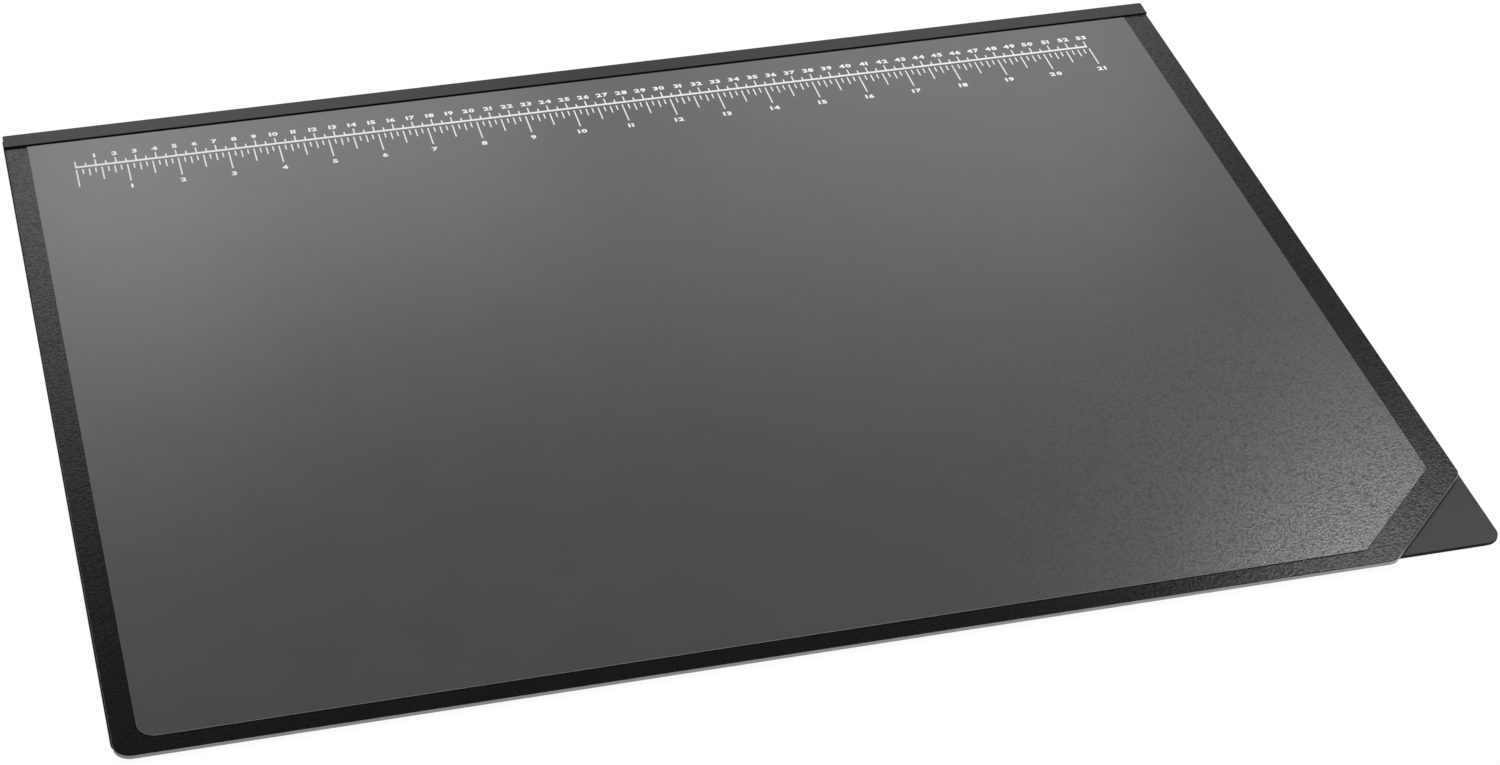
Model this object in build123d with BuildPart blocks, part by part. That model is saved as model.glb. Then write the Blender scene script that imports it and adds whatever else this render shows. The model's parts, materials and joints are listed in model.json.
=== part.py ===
from build123d import *
import os

# Lift-top desk pad with a frosted writing sheet and a printed ruler.
# A lid of skin, board and lining is hinged in front of a raised spine on a rigid base. Papers are kept
# under the lid, and the writing sheet on top of it lifts too, about a bend line near its back edge.
#
# Frame: +X to the right, +Y to the back edge, +Z up, origin under the middle of the pad.
# All sizes are in millimetres.

# Plan of the whole pad
pad_width = 609.6
pad_depth = 482.6

# Base
base_thickness = 1.4
base_front_radius = 8.0
back_left_radius = 1.3
back_right_radius = 3.3
base_edge_round = 0.3
backing_thickness = 0.6
backing_inset = 3.0
lid_overhang = 4.6

# Spine along the back edge
spine_depth = 10.8
spine_end_inset = 0.3
spine_core_inset = 1.0
spine_cover_thickness = 0.95
spine_edge_round = 0.25
hinge_groove = 0.75

# Lid
liner_thickness = 0.2
board_thickness = 1.5
skin_thickness = 0.3
lid_rest_gap = 0.15
lid_side_inset = 0.7
lid_corner_cut = 52.4
lid_corner_radius = 7.5
lid_cut_radius = 6.0
board_hinge_setback = 1.2
crease_gap = 0.02

# Writing sheet on the lid
overlay_width = 584.2
overlay_thickness = 0.4
overlay_left_margin = 10.8
overlay_front_margin = 9.5
overlay_back_inset = 0.5
overlay_corner_cut = 49.1
overlay_corner_radius = 8.0
overlay_cut_radius = 1.0
overlay_margin_depth = 6.0
tape_thickness = 0.1
tape_inset = 0.5

# Printed ruler: a bar with centimetre ticks behind it and inch ticks in front of it
ink_thickness = 0.05
scale_left_inset = 21.8
scale_back_inset = 25.0
scale_bar_width = 1.6
tick_width = 0.7
inch = 25.4
inches_printed = 21
inch_tick_gap = 1.5
inch_tick_length = 15.8
half_inch_tick_length = 11.5
quarter_inch_tick_length = 6.6
eighth_inch_tick_length = 4.5
centimetre = 10.05
centimetres_printed = 53
centimetre_tick_length = 4.6
half_centimetre_tick_length = 2.5

# Heights, from the desk up
base_bottom = backing_thickness
base_top = base_bottom + base_thickness
liner_bottom = base_top + lid_rest_gap
board_bottom = liner_bottom + liner_thickness
skin_bottom = board_bottom + board_thickness
skin_top = skin_bottom + skin_thickness
overlay_bottom = skin_top + tape_thickness
overlay_top = overlay_bottom + overlay_thickness

# Lines across the pad
pad_front = -pad_depth / 2
pad_back = pad_depth / 2
base_front = pad_front + lid_overhang
spine_front = pad_back - spine_depth
crease_y = spine_front - hinge_groove
lid_left = -pad_width / 2 + lid_side_inset
lid_right = pad_width / 2 - lid_side_inset
overlay_left = lid_left + overlay_left_margin
overlay_right = overlay_left + overlay_width
overlay_front = pad_front + overlay_front_margin
overlay_back = crease_y - overlay_back_inset
bend_y = overlay_back - overlay_margin_depth

# The ruler's zero, the middle line of its bar, and its inch ticks by the eighths that they mark
scale_zero_x = overlay_left + scale_left_inset
scale_y = overlay_back - scale_back_inset
inch_ticks = {
    8: inch_tick_length,
    4: half_inch_tick_length,
    2: quarter_inch_tick_length,
    1: eighth_inch_tick_length,
}


def base_plan():
    """Plan of the base: wide radii at the front corners and tighter ones at the back corners."""
    with BuildSketch() as plan:
        with Locations((0, (base_front + pad_back) / 2)):
            Rectangle(pad_width, pad_back - base_front)
        front_corners = plan.vertices().group_by(Axis.Y)[0]
        back_corners = plan.vertices().group_by(Axis.Y)[-1].sort_by(Axis.X)
        fillet(front_corners, base_front_radius)
        fillet(back_corners[0], back_left_radius)
        fillet(back_corners[-1], back_right_radius)
    return plan.sketch


def cut_corner_plan(left, right, front, back, corner_cut, corner_radius, cut_radius):
    """Plan of a sheet whose front left corner is rounded and front right corner is cut at 45 degrees."""
    with BuildSketch() as plan:
        with BuildLine():
            Polyline(
                (left, back),
                (left, front),
                (right - corner_cut, front),
                (right, front + corner_cut),
                (right, back),
                close=True,
            )
        make_face()
        front_line = plan.vertices().group_by(Axis.Y)[0].sort_by(Axis.X)
        right_line = plan.vertices().group_by(Axis.X)[-1].sort_by(Axis.Y)
        fillet([front_line[-1], right_line[0]], cut_radius)
        fillet(plan.vertices().group_by(Axis.X)[0].sort_by(Axis.Y)[0], corner_radius)
    return plan.sketch


def lid_plan(back_setback):
    """Plan of a layer of the lid, whose back edge lies behind the crease by a setback."""
    return cut_corner_plan(
        lid_left,
        lid_right,
        pad_front,
        crease_y - back_setback,
        lid_corner_cut,
        lid_corner_radius,
        lid_cut_radius,
    )


def spine_plan(front, end_inset, back_inset):
    """Plan of a layer of the spine, whose back corners are rounded to follow the base's."""
    with BuildSketch() as plan:
        with Locations((0, (front + pad_back - back_inset) / 2)):
            Rectangle(pad_width - 2 * end_inset, pad_back - back_inset - front)
        back_corners = plan.vertices().group_by(Axis.Y)[-1].sort_by(Axis.X)
        fillet(back_corners[0], back_left_radius - end_inset)
        fillet(back_corners[-1], back_right_radius - end_inset)
    return plan.sketch


def strip_plan(left, right, front, back):
    """Plan of a plain rectangular strip."""
    with BuildSketch() as plan:
        with Locations(((left + right) / 2, (front + back) / 2)):
            Rectangle(right - left, back - front)
    return plan.sketch


def inch_tick_step(count):
    """The coarsest division, in eighths of an inch, that the tick of this number marks."""
    return next(step for step in inch_ticks if count % step == 0)


# Base: rigid panel on a non-slip foam backing
with BuildPart() as base_board:
    with BuildSketch(Plane.XY.offset(base_bottom)):
        add(base_plan())
    extrude(amount=base_thickness)
    fillet(base_board.faces().sort_by(Axis.Z)[-1].edges(), base_edge_round)
base_board.part.label = "base_board"

with BuildPart() as base_backing:
    with BuildSketch():
        backing_plan = base_plan()
        offset(backing_plan, amount=-backing_inset, kind=Kind.INTERSECTION)
    extrude(amount=backing_thickness)
base_backing.part.label = "base_backing"

# Spine: spacer, flexible hinge strip and raised cover, stacked on the base
with BuildPart() as spine_core:
    with BuildSketch(Plane.XY.offset(base_top)):
        add(spine_plan(spine_front, lid_side_inset, spine_core_inset))
    extrude(amount=skin_bottom - base_top)
spine_core.part.label = "spine_core"

with BuildPart() as hinge_strip:
    with BuildSketch(Plane.XY.offset(skin_bottom)):
        add(spine_plan(crease_y, lid_side_inset, spine_core_inset))
    extrude(amount=skin_thickness)
hinge_strip.part.label = "hinge_strip"

with BuildPart() as spine_cover:
    with BuildSketch(Plane.XY.offset(skin_top)):
        add(spine_plan(spine_front, spine_end_inset, 0))
    extrude(amount=spine_cover_thickness)
    fillet(spine_cover.faces().sort_by(Axis.Z)[-1].edges(), spine_edge_round)
spine_cover.part.label = "spine_cover"

# Lid: lining, board and pebbled skin, which creases at the hinge strip's front edge
with BuildPart() as lid_liner:
    with BuildSketch(Plane.XY.offset(liner_bottom)):
        add(lid_plan(board_hinge_setback))
    extrude(amount=liner_thickness)
lid_liner.part.label = "lid_liner"

with BuildPart() as lid_board:
    with BuildSketch(Plane.XY.offset(board_bottom)):
        add(lid_plan(board_hinge_setback))
    extrude(amount=board_thickness)
lid_board.part.label = "lid_board"

with BuildPart() as lid_skin:
    with BuildSketch(Plane.XY.offset(skin_bottom)):
        add(lid_plan(crease_gap))
    extrude(amount=skin_thickness)
lid_skin.part.label = "lid_skin"

# Writing sheet: a margin taped to the lid, and the sheet that lifts in front of the bend line
with BuildPart() as overlay_tape:
    with BuildSketch(Plane.XY.offset(skin_top)):
        add(
            strip_plan(
                overlay_left + tape_inset,
                overlay_right - tape_inset,
                bend_y + tape_inset,
                overlay_back - tape_inset,
            )
        )
    extrude(amount=tape_thickness)
overlay_tape.part.label = "overlay_tape"

with BuildPart() as overlay_margin:
    with BuildSketch(Plane.XY.offset(overlay_bottom)):
        add(strip_plan(overlay_left, overlay_right, bend_y, overlay_back))
    extrude(amount=overlay_thickness)
overlay_margin.part.label = "overlay_margin"

with BuildPart() as overlay_sheet:
    with BuildSketch(Plane.XY.offset(overlay_bottom)):
        add(
            cut_corner_plan(
                overlay_left,
                overlay_right,
                overlay_front,
                bend_y - crease_gap,
                overlay_corner_cut,
                overlay_corner_radius,
                overlay_cut_radius,
            )
        )
    extrude(amount=overlay_thickness)
overlay_sheet.part.label = "overlay_sheet"

# Printed ruler: the bar and its centimetre ticks are one print, the inch ticks stand apart in front
with BuildPart() as metric_scale:
    with BuildSketch(Plane.XY.offset(overlay_top)):
        scale_length = centimetres_printed * centimetre
        bar_back = scale_y + scale_bar_width / 2
        with Locations((scale_zero_x + scale_length / 2, scale_y)):
            Rectangle(scale_length + tick_width, scale_bar_width)
        whole_ticks = [
            (scale_zero_x + count * centimetre, bar_back)
            for count in range(centimetres_printed + 1)
        ]
        half_ticks = [(x + centimetre / 2, y) for x, y in whole_ticks[:-1]]
        with Locations(*whole_ticks):
            Rectangle(tick_width, centimetre_tick_length, align=(Align.CENTER, Align.MIN))
        with Locations(*half_ticks):
            Rectangle(tick_width, half_centimetre_tick_length, align=(Align.CENTER, Align.MIN))
    extrude(amount=ink_thickness)
metric_scale.part.label = "metric_scale"

with BuildPart() as inch_scale:
    with BuildSketch(Plane.XY.offset(overlay_top)):
        ticks_back = scale_y - scale_bar_width / 2 - inch_tick_gap
        for step, length in inch_ticks.items():
            eighths = [
                count for count in range(8 * inches_printed + 1) if inch_tick_step(count) == step
            ]
            tick_tops = [(scale_zero_x + count * inch / 8, ticks_back) for count in eighths]
            with Locations(*tick_tops):
                Rectangle(tick_width, length, align=(Align.CENTER, Align.MAX))
    extrude(amount=ink_thickness)
inch_scale.part.label = "inch_scale"

os.makedirs("parts", exist_ok=True)
export_step(base_board.part, "parts/base_board.step")
export_step(base_backing.part, "parts/base_backing.step")
export_step(spine_core.part, "parts/spine_core.step")
export_step(hinge_strip.part, "parts/hinge_strip.step")
export_step(spine_cover.part, "parts/spine_cover.step")
export_step(lid_liner.part, "parts/lid_liner.step")
export_step(lid_board.part, "parts/lid_board.step")
export_step(lid_skin.part, "parts/lid_skin.step")
export_step(overlay_tape.part, "parts/overlay_tape.step")
export_step(overlay_margin.part, "parts/overlay_margin.step")
export_step(overlay_sheet.part, "parts/overlay_sheet.step")
export_step(metric_scale.part, "parts/metric_scale.step")
export_step(inch_scale.part, "parts/inch_scale.step")
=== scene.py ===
import json
import math

import bpy
import numpy as np
from mathutils import Matrix, Vector


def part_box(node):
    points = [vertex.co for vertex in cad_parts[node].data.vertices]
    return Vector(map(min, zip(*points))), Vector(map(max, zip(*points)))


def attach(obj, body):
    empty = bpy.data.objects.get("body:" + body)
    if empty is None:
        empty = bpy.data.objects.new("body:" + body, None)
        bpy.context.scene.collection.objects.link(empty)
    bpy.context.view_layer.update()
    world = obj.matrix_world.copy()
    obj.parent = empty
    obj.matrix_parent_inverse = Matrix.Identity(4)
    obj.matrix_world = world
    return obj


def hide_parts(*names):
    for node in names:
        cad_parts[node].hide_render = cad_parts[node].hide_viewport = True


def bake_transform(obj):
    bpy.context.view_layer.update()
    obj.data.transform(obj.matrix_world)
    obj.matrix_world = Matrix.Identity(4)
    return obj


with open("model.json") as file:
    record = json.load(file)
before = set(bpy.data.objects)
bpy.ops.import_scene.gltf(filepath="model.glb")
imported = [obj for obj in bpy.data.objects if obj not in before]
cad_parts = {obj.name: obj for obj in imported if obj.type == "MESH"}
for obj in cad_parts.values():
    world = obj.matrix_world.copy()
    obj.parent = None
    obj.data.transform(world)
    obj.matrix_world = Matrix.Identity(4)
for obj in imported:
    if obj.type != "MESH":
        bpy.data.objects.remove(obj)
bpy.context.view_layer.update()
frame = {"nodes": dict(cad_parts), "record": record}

MM = 0.001
nodes = frame["nodes"]

# ---------------------------------------------------------------------------
# Places read from the frame
# ---------------------------------------------------------------------------
lid_low, lid_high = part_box("lid_skin")
hinge_low, hinge_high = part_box("hinge_strip")
sheet_low, sheet_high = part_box("overlay_sheet")
margin_low, margin_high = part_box("overlay_margin")
metric_low, metric_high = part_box("metric_scale")
inch_low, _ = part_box("inch_scale")
crease_y = hinge_low.y
bend_y = margin_low.y

# Sizes of the lid and the writing sheet that their boxes don't give
LID_CUT = 52.4 * MM
LID_CORNER_RADIUS = 7.5 * MM
LID_CUT_RADIUS = 6.0 * MM
LID_EDGE = 0.12 * MM
SHEET_CUT = 49.1 * MM
SHEET_CORNER_RADIUS = 8.0 * MM
SHEET_CUT_RADIUS = 1.0 * MM
SHEET_EDGE = 0.1 * MM

# The lid's crease reaches in front of and behind the hinge strip's front edge
CREASE_FRONT_REACH = 1.1 * MM
CREASE_BACK_REACH = 0.1 * MM
CREASE_ROWS = 13
HINGE_BACK_CORNER = 2.0 * MM

# The line scored in the crease: how far in front of that edge its middle lies, and its size
SCORE_SETBACK = 0.5 * MM
SCORE_HALF_WIDTH = 0.5 * MM
SCORE_DEPTH = 0.1 * MM

# The writing sheet's bend reaches in front of and behind its taped margin's front edge
BEND_FRONT_REACH = 7.8 * MM
BEND_BACK_REACH = 0.5 * MM
BEND_ROWS = 15

# Points round the corners: as many on the rounded corner as on the two ends of the cut together
CUT_END_POINTS = 9
CORNER_POINTS = 2 * CUT_END_POINTS
SHARP_ANGLE = 30.0

# The ruler's print
INCH = 25.4 * MM
CENTIMETRE = 10.05 * MM
INCHES_PRINTED = 21
CENTIMETRES_PRINTED = 53
TICK_WIDTH = 0.7 * MM
NUMERAL_HEIGHT = 3.6 * MM
NUMERAL_WIDTH = 1.2
NUMERAL_BOLDNESS = 0.045
NUMERAL_RELIEF = 0.006
NUMERAL_CURVE_STEPS = 3
METRIC_NUMERAL_GAP = 2.0 * MM
INCH_NUMERAL_GAP = 3.05 * MM
METRIC_DIGIT_SPACE = 0.45 * MM
INCH_DIGIT_SPACE = 0.8 * MM

# The band that holds most of a texture's values
TEXTURE_LOW = 0.3
TEXTURE_HIGH = 0.7
CELL_SMOOTHNESS = 0.6

# The writing sheet's grain: how far from the cut corner it fades out, the middle of its cells'
# values, and what it takes from the colour and the gloss
GRAIN_REACH = 0.26
GRAIN_MIDDLE = 0.42
GRAIN_IN_COLOUR = -1.1
GRAIN_IN_GLOSS = -0.8
SHEET_GLOSS = 0.5
# Pale colour painted on the writing sheet's cut edge: a painted highlight for the glow at the
# clear sheet's edge
EDGE_GLOW_PAINT_COLOUR = (0.75, 0.75, 0.75)

# The floor, which lies just clear of the pad's underside
FLOOR_HALF_WIDTH = 6.0
FLOOR_DROP = 0.05 * MM
FLOOR_COLOUR = (0.88, 0.88, 0.88, 1.0)
FLOOR_ROUGHNESS = 0.9
FLOOR_GLOW = 1.05
FLOOR_GLOW_SHARE = 0.9

# The lamps: azimuth and elevation in degrees, width and height in metres, and brightness
SOFTBOXES = {
    "left_softbox": (318.7, 37.6, 3.0, 0.473, 1.0),
    "back_softbox": (11.1, 30.1, 1.212, 0.383, 1.2),
    "back_strip": (357.9, 28.3, 0.782, 0.25, 1.6),
    "back_right_softbox": (29.2, 22.6, 1.143, 0.591, 0.9),
    "right_softbox": (66.2, 45.7, 1.837, 0.3, 10.9),
    "top_softbox": (0.0, 88.0, 1.5, 1.5, 4.03),
    "front_right_fill": (135.0, 25.0, 1.5, 1.5, 0.8),
}
SOFTBOX_DISTANCE = 2.2
WORLD_BRIGHTNESS = 0.02
WHITE = (1.0, 1.0, 1.0, 1.0)

# The camera: its roll is in degrees, its lens and sensor are in millimetres, the rest is in metres
CAMERA_PLACE = (-354.7 * MM, -1380.5 * MM, 1000.7 * MM)
CAMERA_TARGET = (10.75 * MM, -49.01 * MM, 4.0 * MM)
CAMERA_ROLL = 1.296
CAMERA_LENS = 88.365
CAMERA_SENSOR = 36.0
CAMERA_NEAR = 0.05


# ---------------------------------------------------------------------------
# Materials
# ---------------------------------------------------------------------------
def new_material(name):
    """A new material, with its node tree and its Principled shader."""
    material = bpy.data.materials.new(name)
    material.use_nodes = True
    tree = material.node_tree
    return material, tree, tree.nodes["Principled BSDF"]


def object_noise(tree, scale, detail=2.0, roughness=0.5, squeeze=(1.0, 1.0, 1.0)):
    """Noise over Object coordinates, in cells per metre, squeezed along each axis by a factor."""
    coordinates = tree.nodes.new("ShaderNodeTexCoord")
    mapping = tree.nodes.new("ShaderNodeMapping")
    mapping.inputs["Scale"].default_value = squeeze
    noise = tree.nodes.new("ShaderNodeTexNoise")
    noise.inputs["Scale"].default_value = scale
    noise.inputs["Detail"].default_value = detail
    noise.inputs["Roughness"].default_value = roughness
    tree.links.new(coordinates.outputs["Object"], mapping.inputs["Vector"])
    tree.links.new(mapping.outputs["Vector"], noise.inputs["Vector"])
    return noise.outputs["Fac"]


def object_cells(tree, scale):
    """Distance to the middle of the nearest cell, in cells per metre, over Object coordinates."""
    coordinates = tree.nodes.new("ShaderNodeTexCoord")
    cells = tree.nodes.new("ShaderNodeTexVoronoi")
    cells.feature = "SMOOTH_F1"
    cells.inputs["Scale"].default_value = scale
    cells.inputs["Smoothness"].default_value = CELL_SMOOTHNESS
    tree.links.new(coordinates.outputs["Object"], cells.inputs["Vector"])
    return cells.outputs["Distance"]


def nearness(tree, middle, reach):
    """1 at a middle point, falling evenly to 0 at a reach from it, over Object coordinates."""
    coordinates = tree.nodes.new("ShaderNodeTexCoord")
    mapping = tree.nodes.new("ShaderNodeMapping")
    mapping.inputs["Scale"].default_value = (1.0 / reach,) * 3
    mapping.inputs["Location"].default_value = [-place / reach for place in middle]
    ball = tree.nodes.new("ShaderNodeTexGradient")
    ball.gradient_type = "SPHERICAL"
    tree.links.new(coordinates.outputs["Object"], mapping.inputs["Vector"])
    tree.links.new(mapping.outputs["Vector"], ball.inputs["Vector"])
    return ball.outputs["Fac"]


def point_value(tree, name):
    """The value that a piece's points carry under a name."""
    node = tree.nodes.new("ShaderNodeAttribute")
    node.attribute_name = name
    return node.outputs["Fac"]


def calculate(tree, operation, *values):
    """The outcome of a sum on values that are linked sockets or plain numbers."""
    node = tree.nodes.new("ShaderNodeMath")
    node.operation = operation
    for socket, value in zip(node.inputs, values):
        if isinstance(value, float):
            socket.default_value = value
        else:
            tree.links.new(value, socket)
    return node.outputs["Value"]


def ramp(tree, value, low, high):
    """Blend between two colours over the band of a texture's value."""
    node = tree.nodes.new("ShaderNodeValToRGB")
    first, last = node.color_ramp.elements
    first.color = (*low, 1.0)
    last.color = (*high, 1.0)
    first.position = TEXTURE_LOW
    last.position = TEXTURE_HIGH
    tree.links.new(value, node.inputs["Fac"])
    return node.outputs["Color"]


def spread(tree, value, low, high):
    """Map the band of a texture's value to low..high."""
    node = tree.nodes.new("ShaderNodeMapRange")
    node.inputs["From Min"].default_value = TEXTURE_LOW
    node.inputs["From Max"].default_value = TEXTURE_HIGH
    node.inputs["To Min"].default_value = low
    node.inputs["To Max"].default_value = high
    tree.links.new(value, node.inputs["Value"])
    return node.outputs["Result"]


def mixed(tree, share, first, second):
    """A colour between a first and a second one, linked or plain, by a share from 0 to 1."""
    node = tree.nodes.new("ShaderNodeMix")
    node.data_type = "RGBA"
    tree.links.new(share, node.inputs["Factor"])
    for name, colour in (("A", first), ("B", second)):
        if isinstance(colour, tuple):
            node.inputs[name].default_value = (*colour, 1.0)
        else:
            tree.links.new(colour, node.inputs[name])
    return node.outputs["Result"]


def bump(tree, shader, height, strength, distance):
    """Raise the surface by a height texture."""
    node = tree.nodes.new("ShaderNodeBump")
    node.inputs["Strength"].default_value = strength
    node.inputs["Distance"].default_value = distance
    tree.links.new(height, node.inputs["Height"])
    tree.links.new(node.outputs["Normal"], shader.inputs["Normal"])


def pebbled_vinyl():
    """Black embossed vinyl: shallow pebbles about one and a half millimetres across."""
    material, tree, shader = new_material("pebbled_vinyl")
    shade = object_noise(tree, scale=60.0, detail=3.0)
    shade = ramp(tree, shade, low=(0.0072, 0.0072, 0.0073), high=(0.0082, 0.0082, 0.0083))
    tooth = spread(tree, object_noise(tree, scale=900.0), low=0.185, high=0.21)
    pebbles = object_cells(tree, scale=700.0)
    gloss = spread(tree, pebbles, low=0.225, high=0.125)
    tree.links.new(shade, shader.inputs["Base Color"])
    tree.links.new(tooth, shader.inputs["Roughness"])
    tree.links.new(gloss, shader.inputs["Specular IOR Level"])
    bump(tree, shader, pebbles, strength=0.3, distance=0.1 * MM)
    return material


def smooth_plastic(name, dark, light, roughness, gloss, tooth=0.02):
    """Black sheet plastic with a fine satin tooth."""
    material, tree, shader = new_material(name)
    shade = ramp(tree, object_noise(tree, scale=45.0, detail=3.0), low=dark, high=light)
    satin = object_noise(tree, scale=1400.0)
    satin = spread(tree, satin, low=roughness - tooth, high=roughness + tooth)
    grain = object_noise(tree, scale=2600.0, detail=3.0)
    tree.links.new(shade, shader.inputs["Base Color"])
    tree.links.new(satin, shader.inputs["Roughness"])
    shader.inputs["Specular IOR Level"].default_value = gloss
    bump(tree, shader, grain, strength=0.06, distance=0.03 * MM)
    return material


def frosted_sheet(cut_corner):
    """Milky plastic with a fine matt tooth, its cut edge painted pale as a painted highlight for
    the glow the clear sheet's edge catches.

    Its pebbled grain is strongest at the cut corner and fades out evenly with distance from it.
    """
    material, tree, shader = new_material("frosted_sheet")
    haze = object_noise(tree, scale=30.0)
    haze = ramp(tree, haze, low=(0.0680, 0.0680, 0.0680), high=(0.0716, 0.0716, 0.0716))
    cells = calculate(tree, "SUBTRACT", object_cells(tree, scale=850.0), GRAIN_MIDDLE)
    pebbles = calculate(tree, "MULTIPLY", cells, nearness(tree, cut_corner, GRAIN_REACH))
    mottling = calculate(tree, "MULTIPLY_ADD", pebbles, GRAIN_IN_COLOUR, 1.0)
    mottled = tree.nodes.new("ShaderNodeVectorMath")
    mottled.operation = "SCALE"
    tree.links.new(haze, mottled.inputs[0])
    tree.links.new(mottling, mottled.inputs["Scale"])
    face = mottled.outputs["Vector"]
    # The rim is painted pale: a painted highlight standing for the glow at the clear sheet's cut
    # edge
    shade = mixed(tree, point_value(tree, "cut_edge"), face, EDGE_GLOW_PAINT_COLOUR)
    tooth = spread(tree, object_noise(tree, scale=1200.0), low=0.217, high=0.221)
    gloss = calculate(tree, "MULTIPLY_ADD", pebbles, GRAIN_IN_GLOSS, SHEET_GLOSS)
    tree.links.new(shade, shader.inputs["Base Color"])
    tree.links.new(tooth, shader.inputs["Roughness"])
    tree.links.new(gloss, shader.inputs["Specular IOR Level"])
    bump(tree, shader, pebbles, strength=0.5, distance=0.1 * MM)
    return material


def grey_board():
    """Pressed board: pale grey with short fibres along its layers."""
    material, tree, shader = new_material("grey_board")
    fibres = object_noise(tree, scale=900.0, detail=4.0, roughness=0.6, squeeze=(0.25, 0.25, 3.0))
    shade = ramp(tree, fibres, low=(0.50, 0.50, 0.505), high=(0.62, 0.62, 0.625))
    tree.links.new(shade, shader.inputs["Base Color"])
    shader.inputs["Roughness"].default_value = 0.8
    bump(tree, shader, fibres, strength=0.3, distance=0.06 * MM)
    return material


def lining_paper():
    """Pale grey paper lining with a fine grain from side to side."""
    material, tree, shader = new_material("lining_paper")
    grain = object_noise(tree, scale=700.0, detail=3.0, roughness=0.6, squeeze=(0.3, 2.0, 1.0))
    shade = ramp(tree, grain, low=(0.52, 0.52, 0.525), high=(0.60, 0.60, 0.605))
    tree.links.new(shade, shader.inputs["Base Color"])
    tree.links.new(spread(tree, grain, low=0.7, high=0.85), shader.inputs["Roughness"])
    bump(tree, shader, grain, strength=0.3, distance=0.06 * MM)
    return material


def backing_foam():
    """Non-slip foam: dull black with fine open cells."""
    material, tree, shader = new_material("backing_foam")
    cells = object_cells(tree, scale=900.0)
    shade = ramp(tree, cells, low=(0.014, 0.014, 0.015), high=(0.035, 0.035, 0.036))
    tree.links.new(shade, shader.inputs["Base Color"])
    shader.inputs["Roughness"].default_value = 0.9
    bump(tree, shader, cells, strength=0.6, distance=0.25 * MM)
    return material


def clear_tape():
    """Clear adhesive film, drawn opaque and dark for the black lid under it."""
    material, tree, shader = new_material("clear_tape")
    film = object_noise(tree, scale=400.0)
    shade = ramp(tree, film, low=(0.10, 0.10, 0.10), high=(0.14, 0.14, 0.14))
    tree.links.new(shade, shader.inputs["Base Color"])
    shader.inputs["Roughness"].default_value = 0.25
    return material


def white_ink():
    """Screen-printed white ink, very slightly uneven, and thinner in the ruler's fine lines."""
    material, tree, shader = new_material("white_ink")
    cover = object_noise(tree, scale=800.0, detail=3.0)
    fine = ramp(tree, cover, low=(0.86, 0.86, 0.86), high=(0.92, 0.92, 0.92))
    broad = ramp(tree, cover, low=(0.94, 0.94, 0.94), high=(0.98, 0.98, 0.98))
    shade = mixed(tree, point_value(tree, "broad_print"), fine, broad)
    tree.links.new(shade, shader.inputs["Base Color"])
    shader.inputs["Roughness"].default_value = 0.6
    bump(tree, shader, cover, strength=0.1, distance=0.02 * MM)
    return material


finishes = {
    "pebbled_vinyl": pebbled_vinyl(),
    "base_plastic": smooth_plastic(
        "base_plastic",
        dark=(0.0027, 0.0027, 0.0028),
        light=(0.0033, 0.0033, 0.0034),
        roughness=0.335,
        gloss=0.23,
    ),
    "spine_vinyl": smooth_plastic(
        "spine_vinyl",
        dark=(0.0028, 0.0028, 0.0029),
        light=(0.0034, 0.0034, 0.0035),
        roughness=0.304,
        gloss=0.342,
    ),
    "frosted_sheet": frosted_sheet((sheet_high.x, sheet_low.y, sheet_high.z)),
    "grey_board": grey_board(),
    "lining_paper": lining_paper(),
    "backing_foam": backing_foam(),
    "clear_tape": clear_tape(),
    "white_ink": white_ink(),
}


def finish(piece, slot):
    """Give a piece one finish all over."""
    piece.data.materials.clear()
    piece.data.materials.append(finishes[slot])


for part in frame["record"]["subparts"]:
    finish(nodes[part["node"]], part["material_slot"])


# ---------------------------------------------------------------------------
# Sheets
# ---------------------------------------------------------------------------
def mesh_piece(name, vertices, faces, slot):
    """A new object at the origin from an array of points and a list of faces."""
    mesh = bpy.data.meshes.new(name)
    mesh.from_pydata(vertices.tolist(), [], faces)
    mesh.update()
    piece = bpy.data.objects.new(name, mesh)
    bpy.context.scene.collection.objects.link(piece)
    finish(piece, slot)
    return piece


def set_point_values(piece, name, values):
    """Give a piece's points a value each under a name, for its finish to read."""
    attribute = piece.data.attributes.new(name, "FLOAT", "POINT")
    attribute.data.foreach_set("value", values)


def arc(centre_x, centre_y, radius, start, end, steps):
    """Points on a circle about a centre, from a start angle to an end angle in degrees."""
    turn = np.radians(np.linspace(start, end, steps))
    return np.stack([centre_x + radius * np.cos(turn), centre_y + radius * np.sin(turn)], axis=-1)


def sheet_sides(low, high, cut, corner_radius, cut_radius, rows, inset):
    """Left and right sides of a sheet's outline from front to back, drawn in by an inset.

    The left side starts with a quarter circle round the front corner. The right side starts with
    an eighth of a circle, and another joins the far end of the 45-degree cut to the right edge.
    Their centres stand cut_radius * tan(22.5 degrees) beyond the cut's ends. Rows of (depth,
    narrowing) carry both sides on.
    """
    reach = cut_radius * math.tan(math.radians(22.5))
    bend = corner_radius - inset
    turn = cut_radius - inset
    left = arc(low.x + corner_radius, low.y + corner_radius, bend, 270.0, 180.0, CORNER_POINTS)
    first = arc(high.x - cut - reach, low.y + cut_radius, turn, 270.0, 315.0, CUT_END_POINTS)
    last = arc(high.x - cut_radius, low.y + cut + reach, turn, 315.0, 360.0, CUT_END_POINTS)
    depths = rows[:, 0] - inset * (rows[:, 0] == rows[-1, 0])
    left_rows = np.stack([low.x + inset + rows[:, 1], depths], axis=-1)
    right_rows = np.stack([high.x - inset - rows[:, 1], depths], axis=-1)
    return np.concatenate([left, left_rows]), np.concatenate([first, last, right_rows])


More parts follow.
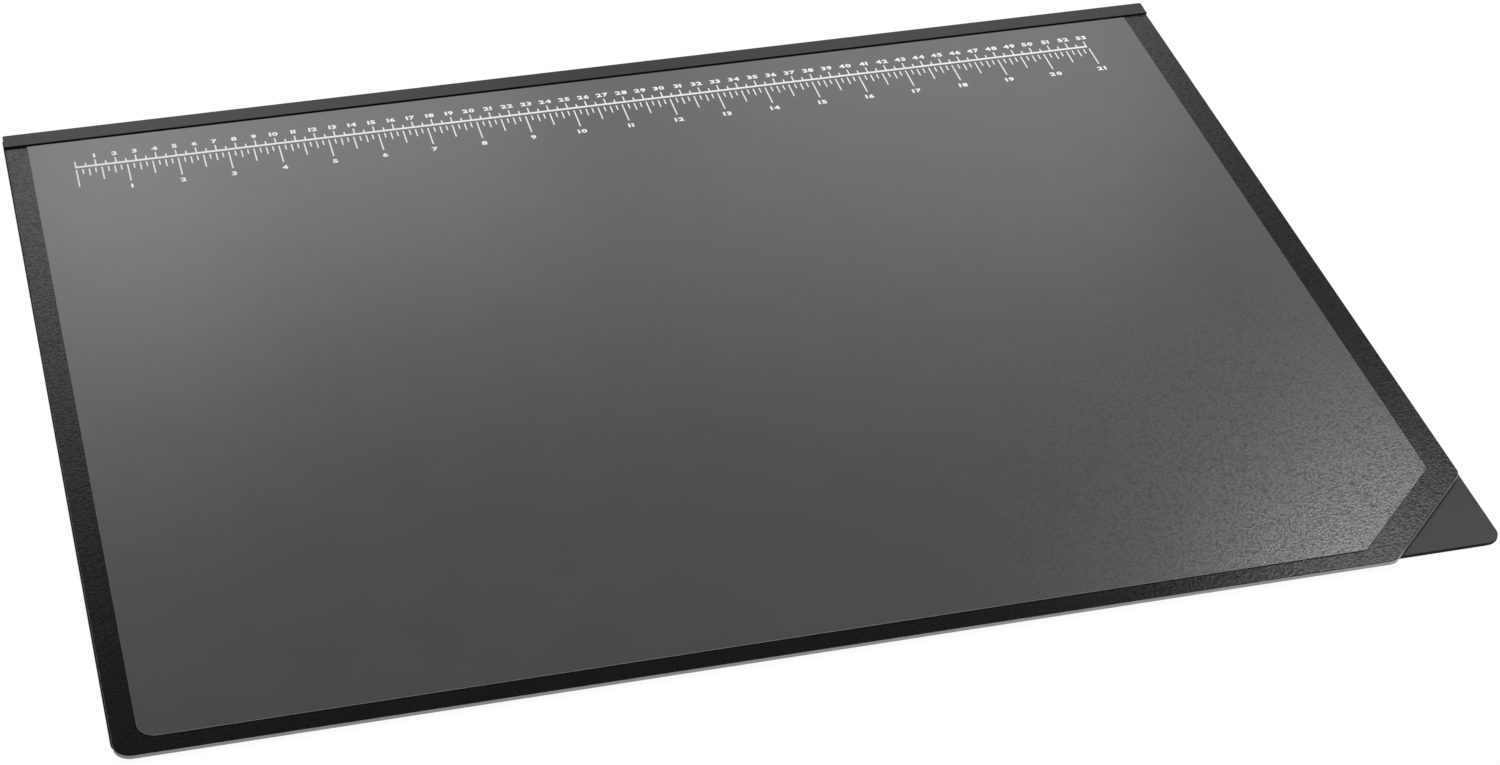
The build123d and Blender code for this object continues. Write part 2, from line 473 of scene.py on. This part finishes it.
def cut_sheet(name, slot, low, high, cut, corner_radius, cut_radius, rows, edge, dips=0.0):
    """A sheet as a closed shell: four rings round its outline, closed by strips across its faces.

    The rings go down the rim: drawn in by the edge at the top, at full size just under it and just
    above the bottom, and drawn in again at the bottom. Dips lower the top face along the rows.
    """
    ring_levels = (
        (edge, high.z, 1),
        (0, high.z - edge, 1),
        (0, low.z + edge, 0),
        (edge, low.z, 0),
    )
    dip = np.concatenate([np.zeros(CORNER_POINTS), np.zeros(len(rows)) + dips])
    rings = []
    for inset, height, share in ring_levels:
        left, right = sheet_sides(low, high, cut, corner_radius, cut_radius, rows, inset)
        heights = height - share * dip
        left = np.column_stack([left, heights])
        right = np.column_stack([right, heights])
        rings.append(np.concatenate([right, left[::-1]]))
    count = len(rings[0])
    bands = len(rings) - 1
    around = np.arange(count)
    following = np.roll(around, -1)
    side = np.arange(count // 2 - 1)
    across = np.stack([side, side + 1, count - 2 - side, count - 1 - side], axis=-1)
    walls = [
        np.stack([following, around, around + count, following + count], axis=-1) + band * count
        for band in range(bands)
    ]
    faces = np.concatenate([across, across[:, ::-1] + bands * count, *walls])
    piece = mesh_piece(name, np.concatenate(rings), faces.tolist(), slot)
    # The rim's points carry 1 under cut_edge; the frosted finish paints its pale edge highlight
    # there
    set_point_values(piece, "cut_edge", np.repeat([0.0, 1.0, 1.0, 0.0], count))
    piece.data.shade_smooth()
    piece.data.set_sharp_from_angle(angle=math.radians(SHARP_ANGLE))
    return piece


# The lid's skin runs on over the crease and under the spine's cover, as one sheet scored across.
# Its front row stands twice. The faces between the two have no area, and with the lid lifted they
# bend the skin's shading, so that the flat lid looks bowed.
crease_front = crease_y - CREASE_FRONT_REACH
crease_back = crease_y + CREASE_BACK_REACH
crease_depths = np.linspace(crease_front, crease_back, CREASE_ROWS)
skin_rows = np.array(
    [(depth, 0.0) for depth in (crease_front, *crease_depths)]
    + [(hinge_high.y - HINGE_BACK_CORNER, 0.0), (hinge_high.y, HINGE_BACK_CORNER)]
)
from_score = (skin_rows[:, 0] - crease_y + SCORE_SETBACK) / SCORE_HALF_WIDTH
score_depth = SCORE_DEPTH * np.clip(1.0 - from_score**2, 0.0, 1.0)
lid_cover = cut_sheet(
    "lid_cover",
    "pebbled_vinyl",
    lid_low,
    lid_high,
    LID_CUT,
    LID_CORNER_RADIUS,
    LID_CUT_RADIUS,
    skin_rows,
    LID_EDGE,
    score_depth,
)
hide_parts("lid_skin", "hinge_strip")
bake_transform(lid_cover)

# The writing sheet's rows lie close between its taped margin and the print, where it bends; the
# print lies where it stays flat
bend_front = bend_y - BEND_FRONT_REACH
bend_back = bend_y + BEND_BACK_REACH
bend_depths = np.linspace(bend_front, bend_back, BEND_ROWS)
sheet_rows = np.array([(depth, 0.0) for depth in (*bend_depths, margin_high.y)])
writing_sheet = cut_sheet(
    "writing_sheet",
    "frosted_sheet",
    sheet_low,
    sheet_high,
    SHEET_CUT,
    SHEET_CORNER_RADIUS,
    SHEET_CUT_RADIUS,
    sheet_rows,
    SHEET_EDGE,
)
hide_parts("overlay_sheet", "overlay_margin")
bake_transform(writing_sheet)


# ---------------------------------------------------------------------------
# The ruler's numerals
# ---------------------------------------------------------------------------
def digit_outline(digit):
    """One numeral as arrays of points and triangles, its lower left corner at the origin."""
    curve = bpy.data.curves.new("digit", "FONT")
    curve.body = str(digit)
    curve.size = 1.0
    curve.offset = NUMERAL_BOLDNESS
    curve.extrude = NUMERAL_RELIEF
    curve.resolution_u = NUMERAL_CURVE_STEPS
    text = bpy.data.objects.new("digit", curve)
    bpy.context.scene.collection.objects.link(text)
    mesh = bpy.data.meshes.new_from_object(text)
    mesh.calc_loop_triangles()
    points = np.empty(len(mesh.vertices) * 3)
    mesh.vertices.foreach_get("co", points)
    points = points.reshape(-1, 3)
    triangles = np.empty(len(mesh.loop_triangles) * 3, dtype=int)
    mesh.loop_triangles.foreach_get("vertices", triangles)
    bpy.data.objects.remove(text)
    bpy.data.curves.remove(curve)
    bpy.data.meshes.remove(mesh)
    points -= points.min(axis=0)
    points *= NUMERAL_HEIGHT / points[:, 1].max()
    return points * (NUMERAL_WIDTH, 1.0, 1.0), triangles.reshape(-1, 3)


DIGITS = [digit_outline(digit) for digit in range(10)]


def numeral_row(name, count, pitch, zero_x, middle_y, height_z, space):
    """Numbers 1 to count, each centred on its tick, each digit set beside the one before it."""
    points, triangles, total = [], [], 0
    for number in range(1, count + 1):
        outlines = [DIGITS[int(character)] for character in str(number)]
        widths = [outline[0][:, 0].max() for outline in outlines]
        x = zero_x + number * pitch - (sum(widths) + space * (len(widths) - 1)) / 2
        for (outline, faces), width in zip(outlines, widths):
            points.append(outline + (x, middle_y - NUMERAL_HEIGHT / 2, height_z))
            triangles.append(faces + total)
            total += len(outline)
            x += width + space
    faces = np.concatenate(triangles).tolist()
    piece = mesh_piece(name, np.concatenate(points), faces, "white_ink")
    set_point_values(piece, "broad_print", np.ones(total))
    return piece


zero_x = metric_low.x + TICK_WIDTH / 2
metric_numerals = numeral_row(
    "metric_numerals",
    CENTIMETRES_PRINTED,
    CENTIMETRE,
    zero_x,
    metric_high.y + METRIC_NUMERAL_GAP + NUMERAL_HEIGHT / 2,
    metric_low.z,
    METRIC_DIGIT_SPACE,
)
inch_numerals = numeral_row(
    "inch_numerals",
    INCHES_PRINTED,
    INCH,
    zero_x,
    inch_low.y - INCH_NUMERAL_GAP - NUMERAL_HEIGHT / 2,
    inch_low.z,
    INCH_DIGIT_SPACE,
)
for numerals in (metric_numerals, inch_numerals):
    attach(numerals, "overlay")


# ---------------------------------------------------------------------------
# Floor, light and camera
# ---------------------------------------------------------------------------
def floor():
    """A wide pale floor that shows near white to the camera and keeps the pad's shadow."""
    corners = ((-1, -1), (1, -1), (1, 1), (-1, 1))
    vertices = [(x * FLOOR_HALF_WIDTH, y * FLOOR_HALF_WIDTH, -FLOOR_DROP) for x, y in corners]
    mesh = bpy.data.meshes.new("floor")
    mesh.from_pydata(vertices, [], [(0, 1, 2, 3)])
    plane = bpy.data.objects.new("floor", mesh)
    bpy.context.scene.collection.objects.link(plane)
    material, tree, shader = new_material("floor")
    shader.inputs["Base Color"].default_value = FLOOR_COLOUR
    shader.inputs["Roughness"].default_value = FLOOR_ROUGHNESS
    glow = tree.nodes.new("ShaderNodeEmission")
    glow.inputs["Color"].default_value = WHITE
    glow.inputs["Strength"].default_value = FLOOR_GLOW
    path = tree.nodes.new("ShaderNodeLightPath")
    share = calculate(tree, "MULTIPLY", path.outputs["Is Camera Ray"], FLOOR_GLOW_SHARE)
    mix = tree.nodes.new("ShaderNodeMixShader")
    tree.links.new(share, mix.inputs["Fac"])
    tree.links.new(shader.outputs["BSDF"], mix.inputs[1])
    tree.links.new(glow.outputs["Emission"], mix.inputs[2])
    tree.links.new(mix.outputs["Shader"], tree.nodes["Material Output"].inputs["Surface"])
    mesh.materials.append(material)


def softbox(name, azimuth, elevation, width, height, brightness):
    """An area light at an azimuth from +Y towards +X and an elevation, facing the origin.

    Its power is pi * area * brightness, where a brightness of 1 looks white.
    """
    light = bpy.data.lights.new(name, "AREA")
    light.shape = "RECTANGLE"
    light.size = width
    light.size_y = height
    light.energy = math.pi * width * height * brightness
    lamp = bpy.data.objects.new(name, light)
    turn, rise = math.radians(azimuth), math.radians(elevation)
    level = math.cos(rise)
    away = Vector((math.sin(turn) * level, math.cos(turn) * level, math.sin(rise)))
    lamp.location = away * SOFTBOX_DISTANCE
    lamp.rotation_euler = away.to_track_quat("Z", "Y").to_euler()
    lamp.visible_camera = False
    bpy.context.scene.collection.objects.link(lamp)


def camera(position, target, roll, lens):
    """The camera at a position, looking at a target, rolled about its own axis in degrees."""
    data = bpy.data.cameras.new("camera")
    data.sensor_width = CAMERA_SENSOR
    data.lens = lens
    data.clip_start = CAMERA_NEAR
    eye = bpy.data.objects.new("camera", data)
    aim = (Vector(target) - Vector(position)).to_track_quat("-Z", "Y").to_matrix().to_4x4()
    spin = Matrix.Rotation(math.radians(roll), 4, "Z")
    eye.matrix_world = Matrix.Translation(position) @ aim @ spin
    bpy.context.scene.collection.objects.link(eye)
    bpy.context.scene.camera = eye


def studio_world(brightness):
    """Soft light from all round, on a background that shows white."""
    world = bpy.data.worlds.new("studio")
    bpy.context.scene.world = world
    world.use_nodes = True
    tree = world.node_tree
    soft = tree.nodes["Background"]
    soft.inputs["Color"].default_value = WHITE
    soft.inputs["Strength"].default_value = brightness
    white = tree.nodes.new("ShaderNodeBackground")
    white.inputs["Color"].default_value = WHITE
    white.inputs["Strength"].default_value = 1.0
    path = tree.nodes.new("ShaderNodeLightPath")
    mix = tree.nodes.new("ShaderNodeMixShader")
    tree.links.new(path.outputs["Is Camera Ray"], mix.inputs["Fac"])
    tree.links.new(soft.outputs["Background"], mix.inputs[1])
    tree.links.new(white.outputs["Background"], mix.inputs[2])
    tree.links.new(mix.outputs["Shader"], tree.nodes["World Output"].inputs["Surface"])


floor()
studio_world(WORLD_BRIGHTNESS)
for lamp_name, settings in SOFTBOXES.items():
    softbox(lamp_name, *settings)
camera(CAMERA_PLACE, CAMERA_TARGET, CAMERA_ROLL, CAMERA_LENS)
bpy.context.scene.view_settings.view_transform = "Standard"
